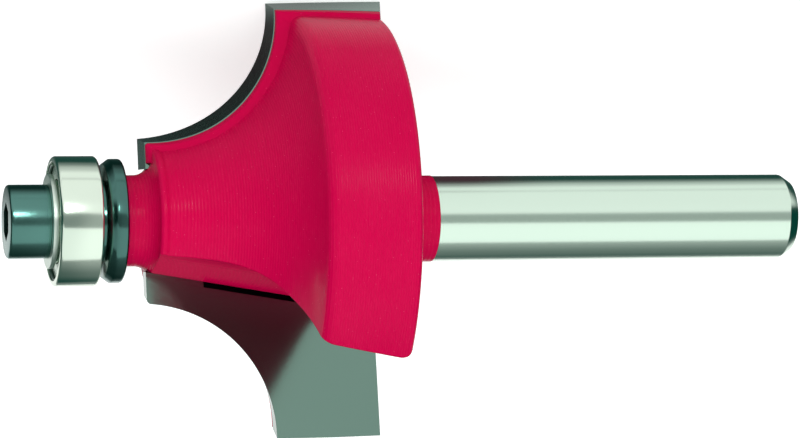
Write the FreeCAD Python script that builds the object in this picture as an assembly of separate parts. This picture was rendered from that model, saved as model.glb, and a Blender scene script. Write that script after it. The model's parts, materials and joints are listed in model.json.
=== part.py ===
"""Piloted beading router bit: a coated steel body with two brazed carbide tips,
a straight ground shank, and a ball bearing pilot held by a socket screw.

The bit is modelled about its own axis: X runs from the pilot to the shank, with
x = 0 at the back face of the cutting head. It is then laid down on a flat surface
as it comes to rest, and the origin goes under the middle of its box.
All lengths are in millimetres and all angles in degrees.
"""
import FreeCAD, Part
import math
import os

from FreeCAD import Placement, Rotation, Vector

# Ground shank and the coated neck before it
shank_d = 6.35
shank_length = 27.5
shank_chamfer_length = 0.78
shank_chamfer_depth = 0.52
neck_d = 6.46
neck_length = 4.30

# Cutting profile, which the carbide edges sweep out
cove_radius = 9.525
small_cut_d = 12.70
cove_step = 0.30
nose_flat = 0.15
land_length = 8.30
tip_overhang = 0.45

# Carbide tips
tip_thickness = 2.10
hook_angle = 11.6
shear_angle = 13.8
face_set_back = 1.70
relief_radial = 0.60
relief_axial = 0.17
braze_gap = 0.42
braze_gap_start = 4.45

# Turned head behind the tips
body_inset = 1.15
nose_set_back = 0.10
head_d = 30.20
head_front_round = 1.00
head_back_chamfer = 0.45
boss_d = 6.70
nose_cove_radius = 1.20
nose_edge_chamfer = 0.40
nose_depth = 0.45

# Backing ridge behind each tip
ridge_inset = 0.05
ridge_top_width = 0.55
ridge_fall = 0.11
ridge_foot_width = 0.45
ridge_root_height = 4.20
ridge_nose_relief = 0.15

# Gullet in front of each tip
web_half = 5.39
web_rise_angle = 9.65
gullet_floor_angle = 23.7
gullet_floor_width = 6.07
gullet_wall_angle = 36.1
gullet_fillet = 5.70

# Pilot end: spigot, dust collar, bearing, washer and screw
boss_length = 1.69
collar_d = 9.10
collar_rim_width = 1.36
collar_bevel_length = 0.50
collar_bevel_depth = 0.37
collar_hub_d = 6.00
collar_hub_length = 0.48
seat_clearance = 0.01
spigot_short = 0.25
spigot_chamfer = 0.20

bearing_d = 9.525
bearing_bore = 4.7625
bearing_width = 3.175
bearing_chamfer = 0.25
bearing_bore_chamfer = 0.12
ball_d = 1.5875
ball_count = 8
race_play = 0.008
race_conformity = 0.52
groove_depth = 0.24
shield_seat_depth = 0.20
shield_lip = 0.12
snap_wire_size = 0.20
snap_wire_opening = 24.0
snap_wire_bite = 0.04
shield_thickness = 0.16
shield_gap = 0.08
cage_wall = 0.60
cage_back = 0.92
cage_front = 0.35
cage_clearance = 0.036

washer_d = 6.92
washer_bore = 3.20
washer_thickness = 0.35

screw_d = 3.00
screw_length = 8.00
screw_head_d = 5.40
screw_head_height = 3.00
screw_head_chamfer = 0.18
hex_across_flats = 2.50
hex_depth = 1.50
thread_clearance = 0.04
tapped_depth = 9.00
drill_point_angle = 118.0

# Stations along the axis
wing_count = 2
x_head_back = 0.0
x_shank_start = x_head_back + neck_length
x_shank_end = x_shank_start + shank_length + shank_chamfer_length
x_tip_end = x_head_back + tip_overhang
x_land_start = x_tip_end - land_length
x_cove_centre = x_land_start - cove_radius
x_tip_start = x_cove_centre - nose_flat
x_wing_front = x_tip_start + nose_set_back
x_nose_edge = x_wing_front + nose_depth
x_boss_front = x_wing_front - boss_length
x_collar_rim = x_boss_front - collar_rim_width
x_bearing_back = x_collar_rim - collar_hub_length
x_bearing_front = x_bearing_back - bearing_width
x_bearing_mid = x_bearing_back - bearing_width / 2
x_washer_front = x_bearing_front - washer_thickness
x_screw_top = x_washer_front - screw_head_height
x_spigot_end = x_bearing_front + spigot_short

# Radii that several pieces share
small_cut_r = small_cut_d / 2
land_r = small_cut_r + cove_radius + cove_step
cove_centre_r = small_cut_r + cove_radius
body_cove_r = cove_radius + body_inset
nose_r = small_cut_r - body_inset
spigot_r = bearing_bore / 2 - seat_clearance
thread_r = screw_d / 2
ball_r = ball_d / 2
pitch_r = (bearing_d + bearing_bore) / 4
race_r = race_conformity * ball_d
inner_land_r = pitch_r - ball_r - race_play + groove_depth
outer_land_r = pitch_r + ball_r + race_play - groove_depth
shield_recess_r = outer_land_r + shield_seat_depth
tan_hook = math.tan(math.radians(hook_angle))
tan_shear = math.tan(math.radians(shear_angle))
tan_web = math.tan(math.radians(web_rise_angle))

X_AXIS = Vector(1, 0, 0)
ORIGIN = Vector(0, 0, 0)
contact_accuracy = 0.01


def line(start, end):
    """Straight edge between two (x, radius) points of a turned outline."""
    return Part.LineSegment(Vector(start[0], 0, start[1]), Vector(end[0], 0, end[1])).toShape()


def arc(start, end, centre, radius):
    """Shorter arc between two (x, radius) points about a centre."""
    mid_x = (start[0] + end[0]) / 2 - centre[0]
    mid_r = (start[1] + end[1]) / 2 - centre[1]
    reach = math.hypot(mid_x, mid_r)
    middle = (centre[0] + mid_x / reach * radius, centre[1] + mid_r / reach * radius)
    points = [Vector(p[0], 0, p[1]) for p in (start, middle, end)]
    return Part.Arc(*points).toShape()


def outline(points):
    """Straight edges through a list of (x, radius) points."""
    return [line(a, b) for a, b in zip(points, points[1:])]


def turned(edges):
    """Solid of revolution about the X axis from a closed outline."""
    face = Part.Face(Part.Wire(edges))
    return face.revolve(ORIGIN, X_AXIS, 360)


def turned_ring(points):
    """Solid of revolution from straight edges that close on themselves."""
    return turned(outline(points + points[:1]))


def turn_about_axis(shape, angle):
    """Copy of a shape turned about the tool's axis."""
    copy = shape.copy()
    copy.rotate(ORIGIN, X_AXIS, angle)
    return copy


def head_outline():
    """Turned outline of the body, from the tapped hole round to the shank's end."""
    boss_r = boss_d / 2
    head_r = head_d / 2
    shank_r = shank_d / 2
    drill_tip = thread_r / math.tan(math.radians(drill_point_angle / 2))
    x_hole = x_spigot_end + tapped_depth

    # Concave fillet of the nose, then a chamfered edge on to the body's cove
    fillet_start = (x_nose_edge - nose_cove_radius, boss_r)
    fillet_end = (x_nose_edge, boss_r + nose_cove_radius)
    fillet_centre = (fillet_start[0], fillet_end[1])
    edge_start = (x_nose_edge, nose_r - nose_edge_chamfer)
    edge_end_x = x_nose_edge + nose_edge_chamfer
    cove_start = (edge_end_x, body_cove_radius_at(edge_end_x))

    # Rounded front edge of the head, tangent to the cove and to the head's rim
    round_r = head_front_round
    round_centre_r = head_r - round_r
    drop = cove_centre_r - round_centre_r
    round_centre_x = x_cove_centre + math.sqrt((body_cove_r + round_r) ** 2 - drop ** 2)
    share = body_cove_r / (body_cove_r + round_r)
    cove_end = (
        x_cove_centre + (round_centre_x - x_cove_centre) * share,
        cove_centre_r - drop * share,
    )
    rim_start = (round_centre_x, head_r)
    rim_end = (x_head_back - head_back_chamfer, head_r)

    edges = outline([
        (x_hole + drill_tip, 0),
        (x_hole, thread_r),
        (x_spigot_end, thread_r),
        (x_spigot_end, spigot_r - spigot_chamfer),
        (x_spigot_end + spigot_chamfer, spigot_r),
        (x_boss_front, spigot_r),
        (x_boss_front, boss_r),
        fillet_start,
    ])
    edges.append(arc(fillet_start, fillet_end, fillet_centre, nose_cove_radius))
    edges += outline([fillet_end, edge_start, cove_start])
    edges.append(arc(cove_start, cove_end, (x_cove_centre, cove_centre_r), body_cove_r))
    edges.append(arc(cove_end, rim_start, (round_centre_x, round_centre_r), round_r))
    edges += outline([
        rim_start,
        rim_end,
        (x_head_back, head_r - head_back_chamfer),
        (x_head_back, neck_d / 2),
        (x_shank_start, neck_d / 2),
        (x_shank_start, shank_r),
        (x_shank_end - shank_chamfer_length, shank_r),
        (x_shank_end, shank_r - shank_chamfer_depth),
        (x_shank_end, 0),
        (x_hole + drill_tip, 0),
    ])
    return edges


def body_cove_radius_at(x):
    """Radius of the turned cove of the body at a station."""
    return cove_centre_r - math.sqrt(body_cove_r ** 2 - (x - x_cove_centre) ** 2)


def face_y(x, z, depth):
    """Y on a plane parallel to the first tip's cutting face, a depth behind it."""
    return tan_hook * z - face_set_back - tan_shear * (x - x_land_start) - depth


def on_face(x, radius, depth):
    """Point at a station and a radius on a plane a depth behind the cutting face."""
    offset = face_y(x, 0, depth)
    square = 1 + tan_hook ** 2
    root = math.sqrt((offset * tan_hook) ** 2 - square * (offset ** 2 - radius ** 2))
    z = (root - offset * tan_hook) / square
    return Vector(x, face_y(x, z, depth), z)


def web_height(x):
    """Height of the gullet's root line above the axis at a station."""
    return web_half + tan_web * (x - x_land_start)


def at_height(x, z, depth):
    """Point at a station and a height on a plane behind the cutting face."""
    return Vector(x, face_y(x, z, depth), z)


def on_root(x, depth, lift):
    """Point above the gullet's root line, a depth behind the cutting face."""
    return at_height(x, web_height(x) + lift, depth)


def cutting_edges(depth, inset_x, nose_inset, land_inset, end_x, start_x):
    """Edges of the cutting outline on a plane behind the cutting face.

    The outline is moved along the axis and towards it, which gives the relief.
    It runs from the nose end to the shank end.
    """
    arc_points = []
    arc_steps = 6
    for step in range(arc_steps + 1):
        angle = math.radians(90) * step / arc_steps
        inset = nose_inset + (land_inset - nose_inset) * step / arc_steps
        x = x_cove_centre + cove_radius * math.sin(angle) + inset_x
        radius = cove_centre_r - cove_radius * math.cos(angle) - inset
        arc_points.append(on_face(x, radius, depth))
    start = on_face(start_x, small_cut_r - nose_inset, depth)
    land_start = on_face(x_land_start + inset_x, land_r - land_inset, depth)
    land_end = on_face(end_x, land_r - land_inset, depth)
    cove = Part.BSplineCurve()
    cove.interpolate(arc_points)
    return [
        Part.makeLine(start, arc_points[0]),
        cove.toShape(),
        Part.makeLine(arc_points[-1], land_start),
        Part.makeLine(land_start, land_end),
    ]


def closed_plate(edges, inner_points):
    """Closed wire from the cutting edges and the points of the inner edge."""
    first = edges[0].Vertexes[0].Point
    last = edges[-1].Vertexes[-1].Point
    inner = [last] + inner_points + [first]
    edges = edges + [Part.makeLine(a, b) for a, b in zip(inner, inner[1:])]
    return Part.Wire(edges)


def end_station(depth):
    """Shank end of a tip or a ridge, which is square to the sheared plate."""
    return x_tip_end - tan_shear * depth


def carbide_tip():
    """Sheared and hooked carbide plate, relieved behind its cutting edge."""
    wires = []
    x_gap = x_tip_start + braze_gap_start
    for depth, shift_x, shift_r in ((0, 0, 0), (tip_thickness, relief_axial, relief_radial)):
        x_end = end_station(depth)
        x_start = x_tip_start + shift_x
        edges = cutting_edges(depth, shift_x, shift_r, shift_r, x_end, x_start)
        inner = [
            on_root(x_end, depth, braze_gap),
            on_root(x_gap, depth, braze_gap),
            on_root(x_gap, depth, 0),
            on_root(x_start, depth, 0),
        ]
        wires.append(closed_plate(edges, inner))
    return Part.makeLoft(wires, True, True)


def backing_ridge():
    """Low ridge of the body that backs a tip and falls away to the turned head."""
    top_inset = relief_radial + ridge_inset
    back_inset = top_inset + ridge_fall
    foot_nose_inset = body_inset + relief_radial
    foot_land_inset = back_inset + land_r - head_d / 2
    top_end = tip_thickness + ridge_top_width
    foot = top_end + ridge_foot_width
    foot_set_back = body_inset - ridge_inset
    stages = (
        (tip_thickness, ridge_inset, 0, top_inset, top_inset),
        (top_end, ridge_inset, ridge_nose_relief, back_inset, back_inset),
        (foot, body_inset, foot_set_back, foot_nose_inset, foot_land_inset),
    )
    wires = []
    for depth, shift_x, set_back, nose_inset, land_inset in stages:
        x_end = end_station(depth)
        x_start = x_wing_front + set_back
        shift = relief_axial + shift_x
        edges = cutting_edges(depth, shift, nose_inset, land_inset, x_end, x_start)
        inner = [at_height(x, ridge_root_height, depth) for x in (x_end, x_start)]
        wires.append(closed_plate(edges, inner))
    return Part.makeLoft(wires, True, True)


def shear_run(length):
    """Vector along the gullet's root line over an axial length."""
    return Vector(length, (tan_web * tan_hook - tan_shear) * length, tan_web * length)


def gullet():
    """Gullet in front of a tip: sloping floor, wide fillet and leading wall."""
    x_start = x_boss_front - 1
    root = on_root(x_start, 0, 0)
    floor = math.radians(gullet_floor_angle)
    wall = math.radians(gullet_wall_angle)
    floor_way = Vector(0, math.cos(floor), -math.sin(floor))
    wall_way = Vector(0, math.cos(wall), math.sin(wall))
    corner = root + floor_way * gullet_floor_width
    reach = gullet_fillet * math.tan((floor + wall) / 2)
    fillet_start = corner - floor_way * reach
    fillet_end = corner + wall_way * reach
    normal = Vector(0, math.sin(floor), math.cos(floor))
    centre = fillet_start + normal * gullet_fillet
    to_corner = corner - centre
    fillet_middle = centre + to_corner / to_corner.Length * gullet_fillet
    wall_end = corner + wall_way * land_r * 1.5
    outer = on_face(x_start, wall_end.z + land_r, 0)
    edges = [
        Part.makeLine(root, fillet_start),
        Part.Arc(fillet_start, fillet_middle, fillet_end).toShape(),
        Part.makeLine(fillet_end, wall_end),
        Part.makeLine(wall_end, outer),
        Part.makeLine(outer, root),
    ]
    return Part.Face(Part.Wire(edges)).extrude(shear_run(x_shank_start - x_start))


def tip_seat():
    """Open-ended notch that the carbide plate is brazed into."""
    x_start = x_boss_front - 1
    outer = on_face(x_start, 2 * land_r, 0)
    outer_back = on_face(x_start, 2 * land_r, tip_thickness)
    corners = [on_root(x_start, 0, 0), outer, outer_back, on_root(x_start, tip_thickness, 0)]
    wire = Part.makePolygon(corners + corners[:1])
    return Part.Face(wire).extrude(shear_run(x_shank_start - x_start))


def cutter_body():
    """One-piece body: turned head with two backing ridges, gullets, seats and shank."""
    body = turned(head_outline())
    for wing in range(wing_count):
        angle = 360 * wing / wing_count
        body = body.fuse(turn_about_axis(backing_ridge(), angle))
    for wing in range(wing_count):
        angle = 360 * wing / wing_count
        body = body.cut(turn_about_axis(gullet(), angle))
        body = body.cut(turn_about_axis(tip_seat(), angle))
    return body.removeSplitter()


def dust_collar():
    """Blackened collar that spaces the bearing off the boss."""
    rim_r = collar_d / 2
    bore_r = bearing_bore / 2
    return turned_ring([
        (x_bearing_back, bore_r),
        (x_bearing_back, collar_hub_d / 2),
        (x_collar_rim, collar_hub_d / 2),
        (x_collar_rim, rim_r - collar_bevel_depth),
        (x_collar_rim + collar_bevel_length, rim_r),
        (x_boss_front, rim_r),
        (x_boss_front, bore_r),
    ])


def groove_half_width():
    """Half width of a ball groove where it meets its land."""
    return math.sqrt(race_r ** 2 - (race_r - groove_depth) ** 2)


def bearing_inner_ring():
    """Inner ring with its ball groove, clamped on the spigot."""
    land = inner_land_r
    bore = bearing_bore / 2
    c = bearing_bore_chamfer
    centre_r = pitch_r - ball_r - race_play + race_r
    half = groove_half_width()
    groove_start = (x_bearing_mid - half, land)
    groove_end = (x_bearing_mid + half, land)
    edges = outline([
        groove_end,
        (x_bearing_back, land),
        (x_bearing_back, bore + c),
        (x_bearing_back - c, bore),
        (x_bearing_front + c, bore),
        (x_bearing_front, bore + c),
        (x_bearing_front, land),
        groove_start,
    ])
    edges.append(arc(groove_start, groove_end, (x_bearing_mid, centre_r), race_r))
    return turned(edges)


def bearing_outer_ring():
    """Outer ring that runs along the work, with a ball groove and two shield recesses."""
    rim_r = bearing_d / 2
    land = outer_land_r
    recess = shield_recess_r
    wire_seat = recess + snap_wire_bite
    depth = shield_lip + snap_wire_size + shield_thickness
    centre_r = pitch_r + ball_r + race_play - race_r
    half = groove_half_width()
    c = bearing_chamfer
    front = x_bearing_front
    back = x_bearing_back
    wire_near = shield_lip
    wire_far = shield_lip + snap_wire_size
    groove_start = (x_bearing_mid - half, land)
    groove_end = (x_bearing_mid + half, land)
    edges = outline([
        groove_end,
        (back - depth, land),
        (back - depth, recess),
        (back - wire_far, recess),
        (back - wire_far, wire_seat),
        (back - wire_near, wire_seat),
        (back - wire_near, recess),
        (back, recess),
        (back, rim_r - c),
        (back - c, rim_r),
        (front + c, rim_r),
        (front, rim_r - c),
        (front, recess),
        (front + wire_near, recess),
        (front + wire_near, wire_seat),
        (front + wire_far, wire_seat),
        (front + wire_far, recess),
        (front + depth, recess),
        (front + depth, land),
        groove_start,
    ])
    edges.append(arc(groove_start, groove_end, (x_bearing_mid, centre_r), race_r))
    return turned(edges)


def bearing_cage():
    """Crown cage with a pocket for each ball, bored from outside."""
    inner = pitch_r - cage_wall / 2
    outer = pitch_r + cage_wall / 2
    cage = turned_ring([
        (x_bearing_mid - cage_front, inner),
        (x_bearing_mid - cage_front, outer),
        (x_bearing_mid + cage_back, outer),
        (x_bearing_mid + cage_back, inner),
    ])
    for index in range(ball_count):
        outward = (ball_centre(index) - Vector(x_bearing_mid, 0, 0)).normalize()
        start = ball_centre(index) - outward * ball_r
        pocket = Part.makeCylinder(ball_r + cage_clearance, ball_d, start, outward)
        cage = cage.cut(pocket)
    return cage


def ball_centre(index):
    """Centre of a ball on the pitch circle."""
    angle = 2 * math.pi * index / ball_count
    return Vector(x_bearing_mid, -pitch_r * math.sin(angle), pitch_r * math.cos(angle))


def bearing_ball(index):
    """One ball, in its pocket."""
    return Part.makeSphere(ball_r, ball_centre(index))


def shield(face_x, inward):
    """Thin shield at the bottom of a recess of the outer ring."""
    near = face_x + inward * (shield_lip + snap_wire_size)
    far = near + inward * shield_thickness
    inner = inner_land_r + shield_gap
    outer = shield_recess_r
    return turned_ring([(near, inner), (near, outer), (far, outer), (far, inner)])


def snap_wire(face_x, inward):
    """Open spring wire that holds a shield in its recess."""
    near = face_x + inward * shield_lip
    far = near + inward * snap_wire_size
    outer = shield_recess_r + snap_wire_bite
    inner = outer - snap_wire_size
    points = [(near, inner), (near, outer), (far, outer), (far, inner)]
    face = Part.Face(Part.Wire(outline(points + points[:1])))
    face.rotate(ORIGIN, X_AXIS, snap_wire_opening / 2)
    return face.revolve(ORIGIN, X_AXIS, 360 - snap_wire_opening)


def washer():
    """Plain washer between the bearing and the screw head."""
    return turned_ring([
        (x_washer_front, washer_bore / 2),
        (x_washer_front, washer_d / 2),
        (x_bearing_front, washer_d / 2),
        (x_bearing_front, washer_bore / 2),
    ])


def pilot_screw():
    """Socket head cap screw; its thread is plain at the major diameter."""
    head_r = screw_head_d / 2
    stem_r = thread_r - thread_clearance
    c = screw_head_chamfer
    screw = turned_ring([
        (x_screw_top, 0),
        (x_screw_top, head_r - c),
        (x_screw_top + c, head_r),
        (x_washer_front, head_r),
        (x_washer_front, stem_r),
        (x_washer_front + screw_length, stem_r),
        (x_washer_front + screw_length, 0),
    ])
    corner_r = hex_across_flats / math.sqrt(3)
    corners = []
    for side in range(6):
        angle = math.radians(60 * side)
        corners.append(Vector(x_screw_top, corner_r * math.sin(angle), corner_r * math.cos(angle)))
    socket = Part.Face(Part.makePolygon(corners + corners[:1])).extrude(X_AXIS * hex_depth)
    return screw.cut(socket)


def build_pieces():
    """Every piece of the bit about its own axis, by node name."""
    tip = carbide_tip()
    pieces = {
        "cutter_body": cutter_body(),
        "carbide_tip_1": tip,
        "carbide_tip_2": turn_about_axis(tip, 180),
        "dust_collar": dust_collar(),
        "bearing_inner_ring": bearing_inner_ring(),
        "bearing_outer_ring": bearing_outer_ring(),
        "bearing_cage": bearing_cage(),
        "bearing_shield_front": shield(x_bearing_front, 1),
        "bearing_shield_rear": shield(x_bearing_back, -1),
        "shield_snap_wire_front": snap_wire(x_bearing_front, 1),
        "shield_snap_wire_rear": snap_wire(x_bearing_back, -1),
        "pilot_washer": washer(),
        "pilot_screw": pilot_screw(),
    }
    for index in range(ball_count):
        pieces["bearing_ball_%d" % (index + 1)] = bearing_ball(index)
    return pieces


def surface_normal(body):
    """Downward normal of the surface that the bit lies on, about its own axis.

    The bit rests on both ends of the first tip's land edge and rolls about that
    edge, towards the gullet, until the rim across the gullet touches too.
    """
    edge_start = on_face(x_land_start, land_r, 0)
    edge_way = (on_face(x_tip_end, land_r, 0) - edge_start).normalize()
    outward = Vector(0, edge_start.y, edge_start.z)
    outward = (outward - edge_way * outward.dot(edge_way)).normalize()
    ahead = outward.cross(edge_way)
    roll = math.pi
    for point in body.tessellate(contact_accuracy)[0]:
        reach = (point - edge_start).dot(ahead)
        drop = (edge_start - point).dot(outward)
        if reach > land_length / 2:
            roll = min(roll, math.atan2(drop, reach))
    return outward * math.cos(roll) + ahead * math.sin(roll)


def resting_placement(pieces):
    """Placement of the resting bit, with its lowest points at z = 0."""
    up = surface_normal(pieces["cutter_body"]) * -1
    forward = (X_AXIS - up * X_AXIS.dot(up)).normalize()
    turn = Placement(ORIGIN, Rotation(forward, up.cross(forward), up, "ZXY").inverted())
    turned_bit = Part.makeCompound(list(pieces.values()))
    turned_bit.transformShape(turn.toMatrix(), True)
    box = turned_bit.optimalBoundingBox(False)
    middle = Vector((box.XMin + box.XMax) / 2, (box.YMin + box.YMax) / 2, box.ZMin)
    return Placement(middle * -1, turn.Rotation)


def main():
    """Build the pieces, lay the bit down and write one file for each node."""
    os.makedirs("parts", exist_ok=True)
    pieces = build_pieces()
    rest = resting_placement(pieces).toMatrix()
    for node, shape in pieces.items():
        laid = shape.copy()
        laid.transformShape(rest, True)
        laid.exportStep("parts/%s.step" % node)


main()
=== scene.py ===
"""Looks of the piloted beading router bit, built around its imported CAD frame.

Every piece is modelled about the bit's own axis in millimetres: X runs from the
pilot to the shank, with x = 0 at the back face of the head, and the first carbide
tip is at +Z with its cutting face towards +Y. The pieces are then laid into the
row frame, where the bit rests on a floor.
"""
import json
import logging
from collections.abc import Callable, Iterable, Sequence
from dataclasses import dataclass, field
from enum import Enum
from functools import partialmethod
from math import acos, asin, atan2, cos, degrees, pi, radians, sin, sqrt, tan

import bmesh
import bpy
from mathutils import Matrix, Vector


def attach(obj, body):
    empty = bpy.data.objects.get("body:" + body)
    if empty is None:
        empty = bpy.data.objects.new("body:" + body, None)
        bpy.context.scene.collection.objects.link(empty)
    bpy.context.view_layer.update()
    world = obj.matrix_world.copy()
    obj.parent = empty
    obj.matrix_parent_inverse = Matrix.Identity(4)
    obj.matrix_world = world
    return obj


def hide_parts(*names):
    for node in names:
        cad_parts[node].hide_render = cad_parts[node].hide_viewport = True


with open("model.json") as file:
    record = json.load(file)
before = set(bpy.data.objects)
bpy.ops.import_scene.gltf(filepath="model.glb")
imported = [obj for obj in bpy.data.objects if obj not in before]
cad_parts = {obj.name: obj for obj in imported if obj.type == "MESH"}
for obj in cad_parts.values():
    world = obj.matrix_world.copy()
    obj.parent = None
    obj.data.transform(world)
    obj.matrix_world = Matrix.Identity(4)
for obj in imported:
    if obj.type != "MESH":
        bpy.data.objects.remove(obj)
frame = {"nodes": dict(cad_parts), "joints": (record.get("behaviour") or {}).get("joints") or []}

log = logging.getLogger("router_bit")

MM = 0.001
QUARTER = pi / 2

Pair = tuple[float, float]
Triple = tuple[float, float, float]
Rows = tuple[Pair, ...]
Outline = list[Pair]
Mesh = bmesh.types.BMesh
Object = bpy.types.Object
Socket = bpy.types.NodeSocket


# Sizes

@dataclass(frozen=True)
class Cut:
    """Cutting outline, carbide plates and the gullets in front of them, in mm."""

    cove_radius: float = 9.525
    small_cut_radius: float = 6.35
    cove_step: float = 0.30
    nose_flat: float = 0.15
    land_length: float = 8.30
    tip_end: float = 0.45
    tip_thickness: float = 2.10
    hook: float = tan(radians(11.6))
    shear: float = tan(radians(13.8))
    face_set_back: float = 1.70
    relief_radial: float = 0.60
    relief_axial: float = 0.17
    braze_gap: float = 0.42
    braze_gap_start: float = 4.45
    nose_corner_round: float = 0.30
    web_half: float = 5.39
    web_rise: float = tan(radians(9.65))
    floor_angle: float = radians(23.7)
    floor_width: float = 6.07
    wall_angle: float = radians(36.1)
    gullet_fillet: float = 5.70
    gullet_reach: float = 1.5
    rim_corner_round: float = 1.20
    rim_corner_start: float = 0.05
    rim_corner_margin: float = 0.30
    ridge_inset: float = 0.05
    ridge_top_width: float = 0.55
    ridge_fall: float = 0.11
    ridge_root_height: float = 4.20
    ridge_nose_relief: float = 0.18
    ridge_hidden_back: float = 0.10
    ridge_corners: Pair = (0.22, 0.50)
    ridge_overlap: float = 0.40
    ridge_blend_width: float = 0.95
    ridge_blend_steps: int = 6
    ridge_blend_sink: float = 0.04

    @property
    def land_start(self) -> float:
        return self.tip_end - self.land_length

    @property
    def cove_centre(self) -> Pair:
        return self.land_start - self.cove_radius, self.small_cut_radius + self.cove_radius

    @property
    def tip_start(self) -> float:
        return self.cove_centre[0] - self.nose_flat

    @property
    def land_radius(self) -> float:
        return self.cove_centre[1] + self.cove_step


@dataclass(frozen=True)
class Turning:
    """Turned steel of the body, in mm."""

    shank_radius: float = 3.175
    shank_start: float = 4.30
    shank_end: float = 32.58
    chamfer_length: float = 0.78
    chamfer_depth: float = 0.52
    neck_radius: float = 3.23
    head_radius: float = 15.10
    head_front_round: float = 1.00
    head_back_round: float = 0.45
    body_inset: float = 1.15
    nose_set_back: float = 0.10
    nose_depth: float = 0.45
    nose_cove_radius: float = 1.20
    nose_edge_round: float = 0.40
    nose_crest_share: float = 0.7
    nose_lip: float = 0.13
    nose_lip_slope: float = 0.22
    nose_lip_runout: float = 2.5
    nose_lip_rounds: Pair = (0.06, 0.08)
    neck_rounds: Pair = (0.06, 0.04)
    shank_rounds: Triple = (0.02, 0.25, 0.10)
    boss_radius: float = 3.35
    boss_front: float = -19.145
    boss_round: float = 0.12
    spigot_radius: float = 2.37125
    spigot_end: float = -23.91
    spigot_chamfer: float = 0.20
    bore_radius: float = 1.50
    bore_end: float = -14.91
    bore_point: float = 0.90

    @property
    def tool_start(self) -> float:
        """Station ahead of the boss, where the cutting tools begin."""
        return self.boss_front - TOOL_MARGIN


@dataclass(frozen=True)
class Pilot:
    """Collar, bearing, washer and screw of the pilot end, in mm."""

    collar_radius: float = 4.55
    collar_hub_radius: float = 3.00
    collar_rim: float = -20.505
    collar_bevel_length: float = 0.50
    collar_bevel_depth: float = 0.37
    collar_rounds: tuple[float, ...] = (0.05, 0.08, 0.06, 0.25, 0.22)
    bore_radius: float = 2.38125
    rim_radius: float = 4.7625
    back: float = -20.985
    front: float = -24.16
    rim_round: float = 0.25
    recess_round: float = 0.05
    land_round: float = 0.08
    bore_round: float = 0.12
    balls: int = 8
    ball_radius: float = 0.79375
    pitch_radius: float = 3.571875
    race_play: float = 0.008
    race_radius: float = 0.8255
    groove_depth: float = 0.24
    seat_depth: float = 0.20
    wire_size: float = 0.20
    wire_bite: float = 0.04
    wire_opening: float = 24.0
    shield_lip: float = 0.12
    shield_thickness: float = 0.16
    shield_gap: float = 0.08
    shield_rounds: Pair = (0.05, 0.03)
    washer_radius: float = 3.46
    washer_bore: float = 1.60
    washer_front: float = -24.51
    washer_rounds: Triple = (0.04, 0.05, 0.02)
    screw_top: float = -27.51
    screw_head_radius: float = 2.70
    screw_stem_radius: float = 1.46
    screw_end: float = -16.51
    screw_rounds: tuple[float, ...] = (0.22, 0.06, 0.10, 0.15)
    hex_across: float = 2.50
    hex_depth: float = 1.50

    @property
    def middle(self) -> float:
        return (self.back + self.front) / 2

    @property
    def inner_land(self) -> float:
        return self.pitch_radius - self.ball_radius - self.race_play + self.groove_depth

    @property
    def outer_land(self) -> float:
        return self.pitch_radius + self.ball_radius + self.race_play - self.groove_depth

    @property
    def recess(self) -> float:
        return self.outer_land + self.seat_depth


@dataclass(frozen=True)
class Steps:
    """Segments of the round forms."""

    body: int = 192
    ring: int = 160
    cove: int = 36
    land: int = 6
    tip_corner: int = 6
    gullet: int = 24
    rim_corner: int = 12
    nose: int = 14
    head_cove: int = 64
    head_round: int = 16
    groove: int = 16
    wire: int = 12
    corner: int = 5
    sheet_corner: int = 3


CUT = Cut()
TURNING = Turning()
PILOT = Pilot()
STEPS = Steps()
MERGE = 1e-4
TOOL_MARGIN = 1.0
SLOT_MARGIN = 0.08
SPIGOT_MARGINS = (0.01, 0.2)
MILLED_TILT = 0.12
SHARP_ANGLE = 32.0
TIP_SHARP_ANGLE = 20.0
WINGS = 2
WHITE = (1.0, 1.0, 1.0)


class Side(Enum):
    """Faces of the bearing, with the way from each face to the bearing's middle."""

    FRONT = 1
    REAR = -1


# Frame of the bit's own axis

def posed(origin: Vector, *axes: Vector) -> Matrix:
    """Matrix with an origin and three axes."""
    return Matrix.Translation(origin) @ Matrix(axes).transposed().to_4x4()


@dataclass(frozen=True)
class ToolFrame:
    """Place of the bit's own frame in the row frame, in metres."""

    matrix: Matrix

    @classmethod
    def from_joints(cls, joints: Sequence[dict]) -> "ToolFrame":
        """Reads the axis from the bearing's joint and the first tip's side from a ball's."""
        named = {joint["name"]: joint for joint in joints}
        middle = Vector(named["pilot_spin"]["pos_m"])
        forward = Vector(named["pilot_spin"]["axis"]).normalized()
        out = Vector(named["ball_1_spin"]["pos_m"]) - middle
        out = (out - forward * out.dot(forward)).normalized()
        side = out.cross(forward)
        origin = middle - forward * PILOT.middle * MM
        return cls(posed(origin, forward, side, out))

    def laid(self, position: Triple, forward: Triple, up: Triple) -> Matrix:
        """Matrix of a camera at a place of the bit's frame, in mm, that looks along forward."""
        view = self.matrix.to_3x3()
        back = -(view @ Vector(forward)).normalized()
        right = (view @ Vector(up)).cross(back).normalized()
        return posed(self.matrix @ (Vector(position) * MM), right, back.cross(right), back)

    def millimetres(self) -> Matrix:
        """Matrix from millimetres of the bit's frame to the row frame."""
        return self.matrix @ Matrix.Scale(MM, 4)


# Turned outlines

def arc_points(centre: Sequence[float], radius: float, start: float, end: float,
               steps: int) -> Outline:
    """Points on an arc of an (x, radius) outline, both ends included, angles in degrees."""
    angles = [radians(start + (end - start) * i / steps) for i in range(steps + 1)]
    return [(centre[0] + radius * cos(a), centre[1] + radius * sin(a)) for a in angles]


def quarter(steps: int) -> list[float]:
    """Angles that divide a quarter turn."""
    return [QUARTER * step / steps for step in range(steps + 1)]


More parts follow.
